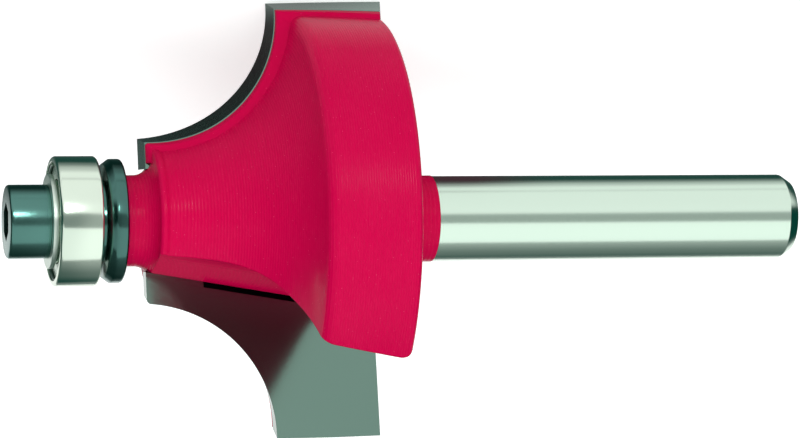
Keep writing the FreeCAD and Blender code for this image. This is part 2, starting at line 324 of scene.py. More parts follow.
def rounded(corners: Sequence[Sequence[float]], steps: int = STEPS.corner,
            closed: bool = True) -> Outline:
    """Rounds the corners of an outline, given as (x, radius) or (x, radius, rounding)."""
    points: Outline = []
    count = len(corners)
    for index, corner in enumerate(corners):
        here = Vector(corner[:2])
        reach = corner[2] if len(corner) > 2 else 0.0
        if reach <= 0 or (not closed and index in (0, count - 1)):
            points.append(tuple(here))
            continue
        before = (Vector(corners[index - 1][:2]) - here).normalized()
        after = (Vector(corners[(index + 1) % count][:2]) - here).normalized()
        half = before.angle(after) / 2
        tangent = reach / tan(half)
        centre = here + (before + after).normalized() * (reach / sin(half))
        first = here + before * tangent - centre
        last = here + after * tangent - centre
        turn = first.angle_signed(last)
        for step in range(steps + 1):
            share = turn * step / steps
            spoke = Matrix.Rotation(-share, 2) @ first
            points.append(tuple(centre + spoke))
    return points


def new_object(name: str, mesh_data: Mesh) -> Object:
    """Object in the scene with the faces of a bmesh, which is freed."""
    mesh = bpy.data.meshes.new(name)
    mesh_data.to_mesh(mesh)
    mesh_data.free()
    obj = bpy.data.objects.new(name, mesh)
    bpy.context.scene.collection.objects.link(obj)
    return obj


def turned_by(bm: Mesh, angle: float) -> Mesh:
    """Turns a mesh about the bit's axis by an angle in radians."""
    bmesh.ops.rotate(bm, verts=bm.verts, cent=(0, 0, 0), matrix=Matrix.Rotation(angle, 3, "X"))
    return bm


def spun(outline: Outline, closed: bool = True, steps: int = STEPS.body,
         angle: float = 360.0, start: float = 0.0) -> Mesh:
    """Turns an (x, radius) outline about the bit's axis, with outward normals.

    An outline that isn't closed ends on the axis. The angle of the turn, and the start that
    the outline is turned to first, are in degrees.
    """
    bm = bmesh.new()
    verts = [bm.verts.new((x, 0.0, r)) for x, r in outline]
    pairs = list(zip(verts, verts[1:]))
    if closed:
        pairs.append((verts[-1], verts[0]))
    edges = [bm.edges.new(pair) for pair in pairs]
    whole = abs(angle - 360.0) < 1e-6
    if start:
        turned_by(bm, radians(start))
    if not whole:
        bmesh.ops.contextual_create(bm, geom=edges)
    bmesh.ops.spin(bm, geom=verts + edges, cent=(0, 0, 0), axis=(1, 0, 0), dvec=(0, 0, 0),
                   angle=radians(angle), steps=steps, use_merge=whole, use_duplicate=False)
    bmesh.ops.remove_doubles(bm, verts=bm.verts, dist=MERGE)
    if not whole:
        bmesh.ops.holes_fill(bm, edges=[e for e in bm.edges if e.is_boundary], sides=0)
    bmesh.ops.recalc_face_normals(bm, faces=bm.faces)
    return bm


def prism(corners: Sequence[Vector], run: Vector) -> Mesh:
    """Solid that a flat outline sweeps along a vector."""
    bm = bmesh.new()
    face = bm.faces.new([bm.verts.new(corner) for corner in corners])
    swept = bmesh.ops.extrude_face_region(bm, geom=[face], use_keep_orig=True)
    moved = [item for item in swept["geom"] if isinstance(item, bmesh.types.BMVert)]
    bmesh.ops.translate(bm, verts=moved, vec=run)
    bmesh.ops.recalc_face_normals(bm, faces=bm.faces)
    return bm


def bridged(loops: Sequence[Sequence[Vector]]) -> Mesh:
    """Solid through closed outlines of the same number of points, capped at both ends."""
    bm = bmesh.new()
    rings = [[bm.verts.new(point) for point in loop] for loop in loops]
    for first, second in zip(rings, rings[1:]):
        for i in range(len(first)):
            j = (i + 1) % len(first)
            bm.faces.new((first[i], first[j], second[j], second[i]))
    bm.faces.new(rings[0])
    bm.faces.new(rings[-1])
    bmesh.ops.recalc_face_normals(bm, faces=bm.faces)
    return bm


def combine(target: Object, tools: Iterable[Object], operation: str) -> None:
    """Joins or cuts solids with the exact solver and removes the tools."""
    for tool in tools:
        modifier = target.modifiers.new("solid", "BOOLEAN")
        modifier.operation = operation
        modifier.solver = "EXACT"
        modifier.object = tool
        graph = bpy.context.evaluated_depsgraph_get()
        mesh = bpy.data.meshes.new_from_object(target.evaluated_get(graph))
        bm = bmesh.new()
        bm.from_mesh(mesh)
        bmesh.ops.remove_doubles(bm, verts=bm.verts, dist=MERGE)
        bmesh.ops.dissolve_degenerate(bm, edges=bm.edges, dist=MERGE)
        bm.to_mesh(mesh)
        bm.free()
        target.modifiers.clear()
        old, target.data = target.data, mesh
        bpy.data.meshes.remove(old)
        used = tool.data
        bpy.data.objects.remove(tool)
        bpy.data.meshes.remove(used)


# Carbide wings, whose planes are sheared and hooked

def face_y(x: float, z: float, depth: float) -> float:
    """Y on a plane parallel to the cutting face, a depth behind it."""
    return CUT.hook * z - CUT.face_set_back - CUT.shear * (x - CUT.land_start) - depth


def on_face(x: float, radius: float, depth: float) -> Vector:
    """Point at a station and a radius on such a plane."""
    offset = face_y(x, 0, depth)
    square = 1 + CUT.hook ** 2
    root = sqrt((offset * CUT.hook) ** 2 - square * (offset ** 2 - radius ** 2))
    return at_height(x, (root - offset * CUT.hook) / square, depth)


def at_height(x: float, z: float, depth: float) -> Vector:
    """Point at a station and a height on such a plane."""
    return Vector((x, face_y(x, z, depth), z))


def on_root(x: float, depth: float, lift: float = 0.0) -> Vector:
    """Point above the gullet's root line on such a plane."""
    height = CUT.web_half + CUT.web_rise * (x - CUT.land_start)
    return at_height(x, height + lift, depth)


def end_station(depth: float) -> float:
    """Shank end of a plate, which is square to the sheared face."""
    return CUT.tip_end - CUT.shear * depth


def cutting_edge(depth: float, shift: float, nose_inset: float, land_inset: float,
                 end: float, start: float, corner: float = 0.0) -> list[Vector]:
    """Points of the cutting outline at a depth, from the nose to the shank end.

    The outline is shifted along the axis and set in towards it, more or less at the nose
    and at the land. The corner is the rounding of the nose's outer edge.
    """
    centre_x, centre_r = CUT.cove_centre
    nose_r = CUT.small_cut_radius - nose_inset
    points = [(start, nose_r)]
    if corner:
        points = [(start + corner * (1 - cos(angle)), nose_r - corner * (1 - sin(angle)))
                  for angle in quarter(STEPS.tip_corner)]
    first = asin(max(start + corner - centre_x - shift, 0.0) / CUT.cove_radius)
    for step in range(1 if corner else 0, STEPS.cove + 1):
        share = step / STEPS.cove
        angle = first + (QUARTER - first) * share
        inset = nose_inset + (land_inset - nose_inset) * share
        points.append((centre_x + CUT.cove_radius * sin(angle) + shift,
                       centre_r - CUT.cove_radius * cos(angle) - inset))
    land = CUT.land_start + shift
    points += [(land + (end - land) * step / STEPS.land, CUT.land_radius - land_inset)
               for step in range(STEPS.land + 1)]
    return [on_face(x, radius, depth) for x, radius in points]


def plate(corner: float) -> Mesh:
    """Carbide plate, relieved behind its cutting edge."""
    loops = []
    gap = CUT.tip_start + CUT.braze_gap_start
    for depth, axial, radial in ((0.0, 0.0, 0.0),
                                 (CUT.tip_thickness, CUT.relief_axial, CUT.relief_radial)):
        end = end_station(depth)
        start = CUT.tip_start + axial
        loop = cutting_edge(depth, axial, radial, radial, end, start, corner)
        loop += [on_root(x, depth, CUT.braze_gap) for x in (end, gap)]
        loop += [on_root(x, depth) for x in (gap, start)]
        loops.append(loop)
    return bridged(loops)


def ridge() -> Mesh:
    """Ridge of the body behind the plate, which falls away to the turned head."""
    top = CUT.relief_radial + CUT.ridge_inset
    back = top + CUT.ridge_fall
    top_end = CUT.tip_thickness + CUT.ridge_top_width
    front = TURNING.body_inset
    foot_land = back + CUT.land_radius - TURNING.head_radius
    start = CUT.tip_start + TURNING.nose_set_back
    hidden = CUT.ridge_hidden_back
    tight, wide = CUT.ridge_corners
    stages = [
        (CUT.tip_thickness - CUT.ridge_overlap, CUT.ridge_inset, hidden, top, top, tight),
        (CUT.tip_thickness, CUT.ridge_inset, hidden, top, top, tight),
        (top_end, CUT.ridge_inset, hidden + CUT.ridge_nose_relief, back, back, wide),
    ]
    foot = (front, front - CUT.ridge_inset, front + CUT.relief_radial,
            foot_land + CUT.ridge_blend_sink, tight)
    for step in range(1, CUT.ridge_blend_steps + 1):
        share = step / CUT.ridge_blend_steps
        fall = 1 - (1 - share) ** 2
        stages.append((top_end + CUT.ridge_blend_width * share,
                       *(a + (b - a) * fall for a, b in zip(stages[2][1:], foot))))
    loops = []
    for depth, shift, set_back, nose_inset, land_inset, corner in stages:
        end = end_station(depth)
        first = start + set_back
        loop = cutting_edge(depth, CUT.relief_axial + shift, nose_inset, land_inset, end, first,
                            corner)
        loop += [at_height(x, CUT.ridge_root_height, depth) for x in (end, first)]
        loops.append(loop)
    return bridged(loops)


def root_way(length: float) -> Vector:
    """Way along the gullet's root line over an axial length."""
    side = (CUT.web_rise * CUT.hook - CUT.shear) * length
    return Vector((length, side, CUT.web_rise * length))


def gullet_ways() -> tuple[Vector, Vector, Vector]:
    """Ways up a gullet's floor and wall, and the corner where they would meet."""
    floor, wall = CUT.floor_angle, CUT.wall_angle
    floor_way = Vector((0, cos(floor), -sin(floor)))
    corner = on_root(TURNING.tool_start, 0) + floor_way * CUT.floor_width
    return floor_way, Vector((0, cos(wall), sin(wall))), corner


def gullet() -> Mesh:
    """Space in front of a tip: sloping floor, wide fillet and leading wall."""
    first = TURNING.tool_start
    floor, wall = CUT.floor_angle, CUT.wall_angle
    floor_way, wall_way, corner = gullet_ways()
    start = corner - floor_way * CUT.gullet_fillet * tan((floor + wall) / 2)
    centre = start + Vector((0, sin(floor), cos(floor))) * CUT.gullet_fillet
    spoke = start - centre
    points = [on_root(first, 0)]
    for step in range(STEPS.gullet + 1):
        turn = (floor + wall) * step / STEPS.gullet
        points.append(centre + Matrix.Rotation(turn, 3, "X") @ spoke)
    wall_end = corner + wall_way * CUT.land_radius * CUT.gullet_reach
    points += [wall_end, on_face(first, wall_end.z + CUT.land_radius, 0)]
    return prism(points, root_way(TURNING.shank_start - first))


def rim_corner() -> Mesh:
    """Space outside the edge of a gullet's wall at the head's back, widest at the rim."""
    first = TURNING.tool_start
    floor, wall = CUT.floor_angle, CUT.wall_angle
    _, way, corner = gullet_ways()
    inward = Vector((0, sin(wall), -cos(wall)))
    begin = corner + way * CUT.gullet_fillet * tan((floor + wall) / 2) + root_way(-first)
    forward = -root_way(1.0)
    out = -CUT.rim_corner_margin
    loops = []
    for reach, size in ((0.0, CUT.rim_corner_start),
                        (CUT.land_radius, 2 * CUT.rim_corner_round)):
        base = begin + way * reach
        flat = [(out, out), (size, out)]
        flat += [(size * (1 - sin(angle)), size * (1 - cos(angle)))
                 for angle in quarter(STEPS.rim_corner)]
        flat.append((out, size))
        loops.append([base + inward * a + forward * b for a, b in flat])
    return bridged(loops)


def seat() -> Mesh:
    """Open-ended notch that the plate is brazed into."""
    first = TURNING.tool_start
    reach = 2 * CUT.land_radius
    ahead = -CUT.ridge_overlap / 2
    corners = [on_root(first, ahead), on_face(first, reach, ahead),
               on_face(first, reach, CUT.tip_thickness),
               on_root(first, CUT.tip_thickness)]
    return prism(corners, root_way(TURNING.shank_start - first))


def body_outline() -> Outline:
    """Turned outline of the body, from the tapped hole round to the shank's end."""
    t = TURNING
    centre_x, centre_r = CUT.cove_centre
    cove_r = CUT.cove_radius + t.body_inset
    nose_edge = CUT.tip_start + t.nose_set_back + t.nose_depth
    boss_end = nose_edge - t.nose_cove_radius
    fillet_r = t.boss_radius + t.nose_cove_radius
    points: Outline = [
        (t.bore_end + t.bore_point, 0.0), (t.bore_end, t.bore_radius),
        (t.spigot_end, t.bore_radius), (t.spigot_end, t.spigot_radius - t.spigot_chamfer),
        (t.spigot_end + t.spigot_chamfer, t.spigot_radius), (t.boss_front, t.spigot_radius)]
    points += rounded([
        (t.boss_front, t.spigot_radius), (t.boss_front, t.boss_radius, t.boss_round),
        (boss_end, t.boss_radius)], closed=False)[1:-1]
    points += arc_points((boss_end, fillet_r), t.nose_cove_radius, -90, 0, STEPS.nose)
    reach = nose_edge + t.nose_edge_round
    cove_at = centre_r - sqrt(cove_r ** 2 - (reach - centre_x) ** 2)
    crest = cove_at + t.nose_lip
    lip, foot = t.nose_lip_rounds
    points += rounded([
        (nose_edge, fillet_r), (nose_edge, crest, t.nose_edge_round * t.nose_crest_share),
        (reach, crest, lip), (reach + t.nose_lip_slope, cove_at, foot),
        (reach + 2 * t.nose_lip_slope, cove_at)], closed=False)[1:-1]
    round_r = t.head_radius - t.head_front_round
    round_x = centre_x + sqrt((cove_r + t.head_front_round) ** 2
                              - (centre_r - t.head_radius + t.head_front_round) ** 2)
    meet = degrees(atan2(round_r - centre_r, round_x - centre_x))
    cove_x = reach + t.nose_lip_runout * t.nose_lip_slope
    begin = degrees(asin((cove_x - centre_x) / cove_r)) - 90
    points += arc_points((centre_x, centre_r), cove_r, begin, meet, STEPS.head_cove)
    points += arc_points((round_x, round_r), t.head_front_round, meet + 180, 90,
                         STEPS.head_round)[1:]
    neck, step = t.neck_rounds
    foot, shoulder, end = t.shank_rounds
    points += rounded([
        (round_x, t.head_radius), (0, t.head_radius, t.head_back_round),
        (0, t.neck_radius, neck), (t.shank_start, t.neck_radius, step),
        (t.shank_start, t.shank_radius, foot),
        (t.shank_end - t.chamfer_length, t.shank_radius, shoulder),
        (t.shank_end, t.shank_radius - t.chamfer_depth, end),
        (t.shank_end, 0.0)], closed=False)[1:]
    return points


# Materials

class Graph:
    """Node graph of a material or a world, with short ways to add nodes."""

    def __init__(self, owner: bpy.types.Material | bpy.types.World) -> None:
        owner.use_nodes = True
        self.tree = owner.node_tree
        self.tree.nodes.clear()

    def add(self, kind: str, settings: dict | None = None, **inputs: object) -> bpy.types.Node:
        """Adds a node; an input's value may be a constant or another node's output."""
        node = self.tree.nodes.new("ShaderNode" + kind)
        for name, value in (settings or {}).items():
            setattr(node, name, value)
        for name, value in inputs.items():
            numbered = name[0] == "i" and name[1:].isdigit()
            socket = node.inputs[int(name[1:]) if numbered else name.replace("_", " ")]
            if isinstance(value, Socket):
                self.tree.links.new(value, socket)
            else:
                socket.default_value = value
        return node

    def math(self, operation: str, first: object, second: object = 0.0,
             third: object = 0.0) -> Socket:
        """Output of a math node."""
        node = self.add("Math", {"operation": operation}, i0=first, i1=second, i2=third)
        return node.outputs[0]

    plus = partialmethod(math, "ADD")
    minus = partialmethod(math, "SUBTRACT")
    times = partialmethod(math, "MULTIPLY")
    times_plus = partialmethod(math, "MULTIPLY_ADD")
    over = partialmethod(math, "GREATER_THAN")
    unsigned = partialmethod(math, "ABSOLUTE")

    def mix(self, share: object, first: object, second: object) -> Socket:
        """Output of a mix of two colors."""
        return self.add("Mix", {"data_type": "RGBA"}, i0=share, i6=first, i7=second).outputs[2]

    def span(self, value: object, start: float, end: float, low: float, high: float,
             kind: str = "LINEAR") -> Socket:
        """A value, taken from one range to another."""
        node = self.add("MapRange", {"interpolation_type": kind}, Value=value, From_Min=start,
                        From_Max=end, To_Min=low, To_Max=high)
        return node.outputs[0]

    def noise(self, place: Socket, scale: float, detail: float = 2.0) -> Socket:
        """Value of a noise texture."""
        return self.add("TexNoise", Vector=place, Scale=scale, Detail=detail).outputs[0]

    def split(self, vector: Socket) -> tuple[Socket, ...]:
        """The three parts of a vector."""
        return tuple(self.add("SeparateXYZ", Vector=vector).outputs)


def rgba(color: Triple) -> tuple[float, float, float, float]:
    """Color with full alpha."""
    return (*color, 1.0)


@dataclass(frozen=True)
class Finish:
    """Surface of one kind of piece: tint, roughness and the relief that is cut into it."""

    name: str
    color: Triple
    metallic: float
    roughness: float
    specular: float = 0.5
    line_pitch: float = 0.0
    line_height: float = 0.0
    # Share of painted highlight: glints painted paler pink on the turning crests.
    crest_glint: float = 0.0
    grain: float = 0.0
    grain_height: float = 0.0
    streak: float = 0.0
    grind: float = 0.0
    specks: float = 0.0
    # Painted shade: near-black in the open slot under each tip.
    slot: bool = False
    edge_round: float = 0.0


@dataclass(frozen=True)
class Pattern:
    """Colors, scales and limits of the marks that the finishes share, per mm."""

    # Painted highlight: paler pink glints on the turning crests, shown in noisy patches.
    crest_glint_color: Triple = (0.86, 0.035, 0.14)
    crest_glint_power: float = 1.6
    speck_color: Triple = (0.80, 0.07, 0.17)
    speck_scale: float = 3.6
    speck_span: Pair = (0.07, 0.14)
    # Painted shade: near-black for the open slot under each tip.
    slot_shade_color: Triple = (0.010, 0.008, 0.009)
    rim_margin: float = 0.15
    rim_finer: float = 0.7
    glint_patch_scale: float = 0.35
    glint_patch_span: Triple = (0.38, 0.60, 0.06)
    weave_scale: float = 3.2
    weave_span: Triple = (0.35, 0.62, 0.1)
    streak_scale: float = 9.0
    streak_span: Pair = (0.25, 0.75)
    streak_detail: float = 4.0
    grind_scale: Triple = (0.4, 9.0, 9.0)
    grind_height: float = 0.02
    grind_detail: float = 3.0
    bevel_samples: int = 4


COATING = (0.655, 0.0006, 0.068)
PATTERN = Pattern()


class Surface(Enum):
    """Finishes of the bit."""

    PAINT = Finish("coating", COATING, 0.0, 0.22, specular=0.05,
                   line_pitch=0.31, line_height=0.014, crest_glint=0.26, grain=0.16,
                   grain_height=0.0030, specks=0.30, edge_round=0.20)
    # The milled coating carries a painted shade in the slot under each tip.
    MILLED = Finish("milled_coating", COATING, 0.0, 0.34, specular=0.04,
                    grain=0.16, grain_height=0.0020, specks=0.15, slot=True, edge_round=0.20)
    GROUND = Finish("ground_steel", (0.70, 0.86, 0.735), 1.0, 0.18, line_pitch=0.07,
                    line_height=0.0003, grain=0.11, grain_height=0.0012, streak=0.10,
                    edge_round=0.03)
    CARBIDE = Finish("ground_carbide", (0.165, 0.272, 0.225), 0.95, 0.14, grind=0.07,
                     edge_round=0.03)
    BLACK = Finish("black_oxide", (0.100, 0.240, 0.210), 1.0, 0.22, streak=0.08,
                   line_pitch=0.10, line_height=0.0003, grain=0.12, grain_height=0.0006,
                   edge_round=0.05)
    # Painted shade: the collar's black oxide is a darker copy of the screw's, for the darker
    # look its reflections give it.
    COLLAR = Finish("shaded_black_oxide_collar", (0.075, 0.180, 0.158), 1.0, 0.15, streak=0.05,
                    line_pitch=0.10, line_height=0.0002, edge_round=0.05)
    WASHER = Finish("bright_washer", (0.84, 0.95, 0.86), 1.0, 0.42, streak=0.06, edge_round=0.02)
    RING = Finish("bearing_steel", (0.77, 0.89, 0.76), 1.0, 0.14, streak=0.04, edge_round=0.03)
    SHEET = Finish("pressed_sheet", (0.66, 0.80, 0.68), 1.0, 0.24, streak=0.06, edge_round=0.02)
    WIRE = Finish("drawn_wire", (0.30, 0.38, 0.34), 1.0, 0.30, edge_round=0.02)


class FinishGraph(Graph):
    """Nodes of one finish, in coordinates about the bit's own axis in mm."""

    def __init__(self, finish: Finish, tool: ToolFrame) -> None:
        self.finish = finish
        self.material = bpy.data.materials.new(finish.name)
        super().__init__(self.material)
        location, rotation, scale = tool.millimetres().inverted().decompose()
        self.place = self.add("Mapping", Vector=self.add("TexCoord").outputs["Object"],
                              Location=location, Rotation=rotation.to_euler(),
                              Scale=scale).outputs[0]
        self.axes = self.split(self.place)

    def build(self) -> bpy.types.Material:
        """Joins the nodes of the finish."""
        finish = self.finish
        along, across, height = self.axes
        radius = self.math("SQRT", self.plus(self.times(across, across),
                                             self.times(height, height)))
        line = self.plus(along, radius)
        if finish.crest_glint:
            rim = self.over(radius, TURNING.head_radius - PATTERN.rim_margin)
            line = self.times(line, self.times_plus(rim, PATTERN.rim_finer, 1.0))
        crest = None
        if finish.line_height:
            wave = self.math("SINE", self.times(line, pi / finish.line_pitch))
            crest = self.minus(1.0, self.unsigned(wave))
        roughness: object = finish.roughness
        if finish.streak:
            spot = self.add("CombineXYZ", X=self.times(line, PATTERN.streak_scale))
            lines = self.noise(spot.outputs[0], 1.0, PATTERN.streak_detail)
            half = finish.streak / 2
            roughness = self.span(lines, *PATTERN.streak_span, roughness - half,
                                  roughness + half)
        shader = self.add("BsdfPrincipled", Base_Color=self.color(crest),
                          Metallic=finish.metallic, Roughness=roughness,
                          Specular_IOR_Level=finish.specular, Normal=self.normal(crest))
        self.add("OutputMaterial", Surface=shader.outputs[0])
        return self.material

    def normal(self, crest: Socket | None) -> Socket:
        """Normal with round edges, then grain, turning lines and grinding marks."""
        finish = self.finish
        normal = self.add("Bevel", {"samples": PATTERN.bevel_samples},
                          Radius=finish.edge_round * MM).outputs[0]
        if finish.grain_height:
            grain = self.noise(self.place, 1 / finish.grain)
            normal = self.relief(grain, finish.grain_height, normal)
        if crest is not None:
            normal = self.relief(crest, finish.line_height, normal)
        if finish.grind:
            spot = self.add("Mapping", Vector=self.place, Scale=PATTERN.grind_scale)
            lines = self.noise(spot.outputs[0], 1.0, PATTERN.grind_detail)
            normal = self.relief(lines, finish.grind * PATTERN.grind_height, normal)
        return normal

    def relief(self, height: Socket, depth: float, normal: Socket) -> Socket:
        """Adds a relief of a depth in mm to a normal."""
        return self.add("Bump", Height=height, Strength=1.0, Distance=depth * MM,
                        Normal=normal).outputs[0]

    def color(self, crest: Socket | None) -> object:
        """Color with painted highlight glints on the turning crests, specks and a painted shade
        in the slot under each tip.
        """
        finish = self.finish
        color: object = rgba(finish.color)
        # Painted highlight: the turning crests are tinted paler pink in patches, as glints of
        # light.
        if finish.crest_glint:
            patch = self.noise(self.place, PATTERN.glint_patch_scale)
            weave = self.noise(self.place, PATTERN.weave_scale)
            amount = self.times(self.math("POWER", crest, PATTERN.crest_glint_power),
                                self.span(patch, *PATTERN.glint_patch_span, finish.crest_glint))
            amount = self.times(amount, self.span(weave, *PATTERN.weave_span, 1.0))
            color = self.mix(amount, color, rgba(PATTERN.crest_glint_color))
        if finish.specks:
            spots = self.add("TexVoronoi", Vector=self.place, Scale=PATTERN.speck_scale)
            blob = self.span(spots.outputs["Distance"], *PATTERN.speck_span, 1.0, 0.0)
            few = self.over(self.split(spots.outputs["Color"])[0], 1.0 - finish.specks)
            color = self.mix(self.times(few, blob), color, rgba(PATTERN.speck_color))
        # Painted shade: the open slot under each tip is coloured near-black.
        if finish.slot:
            color = self.mix(self.in_shaded_slot(), color, rgba(PATTERN.slot_shade_color))
        return color

    def in_shaded_slot(self) -> Socket:
        """One inside the open slot under either tip, which gets a painted shade, and zero
        elsewhere.
        """
        along, across, height = self.axes
        station = self.minus(along, CUT.land_start)
        tall = self.unsigned(height)
        side = self.times(across, self.math("SIGN", height))
        depth = self.minus(self.times_plus(tall, CUT.hook, -CUT.face_set_back), side)
        depth = self.minus(depth, self.times(station, CUT.shear))
        lift = self.minus(tall, self.times_plus(station, CUT.web_rise, CUT.web_half))
        inside = self.over(depth, SLOT_MARGIN)
        for value, limit in ((depth, CUT.tip_thickness + SLOT_MARGIN),
                             (lift, CUT.braze_gap + SLOT_MARGIN)):
            inside = self.times(inside, self.math("LESS_THAN", value, limit))
        first = CUT.tip_start + CUT.braze_gap_start - SLOT_MARGIN
        return self.times(inside, self.over(along, first))


# Pieces

@dataclass
class Assembly:
    """Lays finished pieces into the row frame, in place of their CAD nodes."""

    tool: ToolFrame
    made: dict[Surface, bpy.types.Material] = field(default_factory=dict)
    count: int = 0

    def dress(self, obj: Object, surfaces: Sequence[Surface], sharp: float) -> None:
        """Gives a piece its finishes, each made once, and smooth faces."""
        for surface in surfaces:
            if surface not in self.made:
                self.made[surface] = FinishGraph(surface.value, self.tool).build()
            obj.data.materials.append(self.made[surface])
        obj.data.shade_smooth()
        obj.data.set_sharp_from_angle(angle=radians(sharp))
        self.count += 1

    def place(self, obj: Object, node: str, body: str, slot: str,
              surfaces: Sequence[Surface], sharp: float = SHARP_ANGLE) -> None:
        """Lays a piece down, dresses it and lets it ride on its body."""
        obj.data.transform(self.tool.millimetres())
        self.dress(obj, surfaces, sharp)
        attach(obj, body)
        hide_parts(node)

    def turned(self, name: str, outline: Outline, node: str, body: str, slot: str,
               surface: Surface, **turn: float) -> None:
        """Turns an outline about the axis and places the piece."""
        obj = new_object(name, spun(outline, steps=STEPS.ring, **turn))
        self.place(obj, node, body, slot, [surface])

    def keep(self, node: str, surface: Surface) -> None:
        """Shows a CAD node as it is, with a finish."""
        obj = frame["nodes"][node]
        obj.data.materials.clear()
        self.dress(obj, [surface], SHARP_ANGLE)


def pair(name: str, shape: Callable[[], Mesh]) -> list[Object]:
    """A solid of each wing."""
    return [new_object(name, turned_by(shape(), pi * index)) for index in range(WINGS)]


def finish_index(face: bpy.types.MeshPolygon) -> int:
    """Finish of a face of the body: 0 turned and coated, 1 bare, 2 milled and coated."""
    middle = face.center
    along, inward = SPIGOT_MARGINS
    if middle.x > TURNING.shank_start or (
            middle.x < TURNING.boss_front + along
            and middle.yz.length < TURNING.boss_radius - inward):
        return 1
    side = Vector((0.0, -middle.z, middle.y)).normalized()
    return 2 if abs(face.normal.dot(side)) > MILLED_TILT else 0


def add_cutter(assembly: Assembly) -> None:
    """Builds the coated body and both carbide tips."""
    body = new_object("body", spun(body_outline(), closed=False))
    combine(body, pair("ridge", ridge), "UNION")
    combine(body, pair("gullet", gullet) + pair("seat", seat) + pair("corner", rim_corner),
            "DIFFERENCE")
    for face in body.data.polygons:
        face.material_index = finish_index(face)
    assembly.place(body, "cutter_body", "cutter", "coated_steel",
                   [Surface.PAINT, Surface.GROUND, Surface.MILLED])
    for index in range(WINGS):
        corner = CUT.nose_corner_round if index else 0.0
        tip = new_object(f"tip_{index + 1}", turned_by(plate(corner), pi * index))
        assembly.place(tip, f"carbide_tip_{index + 1}", "cutter", "carbide",
                       [Surface.CARBIDE], TIP_SHARP_ANGLE)


def groove(centre: float, way: int) -> Outline:
    """Arc of a ball groove about a radius, cut outwards (way 1) or inwards (way -1)."""
    p = PILOT
    half = degrees(acos(1 - p.groove_depth / p.race_radius))
    return arc_points((p.middle, centre), p.race_radius, way * 90 - half, way * 90 + half,
                      STEPS.groove)


def outer_ring() -> Outline:
    """Outline of the outer ring, with a recess for a shield on each side."""
    p = PILOT
    near = p.front + p.shield_lip
    far = p.front + (p.shield_lip + p.wire_size)
    deep = p.front + (p.shield_lip + p.wire_size + p.shield_thickness)
    bite = p.recess + p.wire_bite
    front = [(deep, p.outer_land), (deep, p.recess), (far, p.recess), (far, bite), (near, bite),
             (near, p.recess), (p.front, p.recess, p.recess_round),
             (p.front, p.rim_radius, p.rim_round)]
    back = [(p.back - (x - p.front), *rest) for x, *rest in reversed(front)]
    centre = p.pitch_radius + p.ball_radius + p.race_play - p.race_radius
    return groove(centre, 1) + rounded(front + back, closed=False)


def inner_ring() -> Outline:
    """Outline of the inner ring."""
    p = PILOT
    centre = p.pitch_radius - p.ball_radius - p.race_play + p.race_radius
    corners = [(p.back, p.inner_land, p.land_round), (p.back, p.bore_radius, p.bore_round),
               (p.front, p.bore_radius, p.bore_round), (p.front, p.inner_land, p.land_round)]
    return groove(centre, -1) + rounded(corners)


def add_cover(assembly: Assembly, side: Side) -> None:
    """Builds the shield of one side and the open wire that holds it."""
    p = PILOT
    name = side.name.lower()
    face = p.front if side is Side.FRONT else p.back
    near = face + side.value * (p.shield_lip + p.wire_size)
    far = near + side.value * p.shield_thickness
    inner = p.inner_land + p.shield_gap
    lip, rim = p.shield_rounds
    sheet = rounded([(near, inner, lip), (near, p.recess, rim), (far, p.recess, rim),
                     (far, inner, lip)], steps=STEPS.sheet_corner)
    assembly.turned(f"{name}_shield", sheet, f"bearing_shield_{name}", "pilot_rim",
                    "pressed_steel", Surface.SHEET)
    middle = (face + side.value * (p.shield_lip + p.wire_size / 2),
              p.recess + p.wire_bite - p.wire_size / 2)
    section = arc_points(middle, p.wire_size / 2, 0, 360 - 360 / STEPS.wire, STEPS.wire - 1)
    assembly.turned(f"{name}_snap_wire", section, f"shield_snap_wire_{name}", "pilot_rim",
                    "spring_wire", Surface.WIRE, angle=360 - p.wire_opening,
                    start=p.wire_opening / 2)


def add_bearing(assembly: Assembly) -> None:
    """Builds the rings, shields and snap wires and dresses the cage and the balls."""
    for name, outline, body in (("outer_ring", outer_ring(), "pilot_rim"),
                                ("inner_ring", inner_ring(), "cutter")):
        assembly.turned(name, outline, f"bearing_{name}", body, "bearing_steel", Surface.RING)
    for side in Side:
        add_cover(assembly, side)
    assembly.keep("bearing_cage", Surface.SHEET)
    for index in range(PILOT.balls):
        assembly.keep(f"bearing_ball_{index + 1}", Surface.RING)


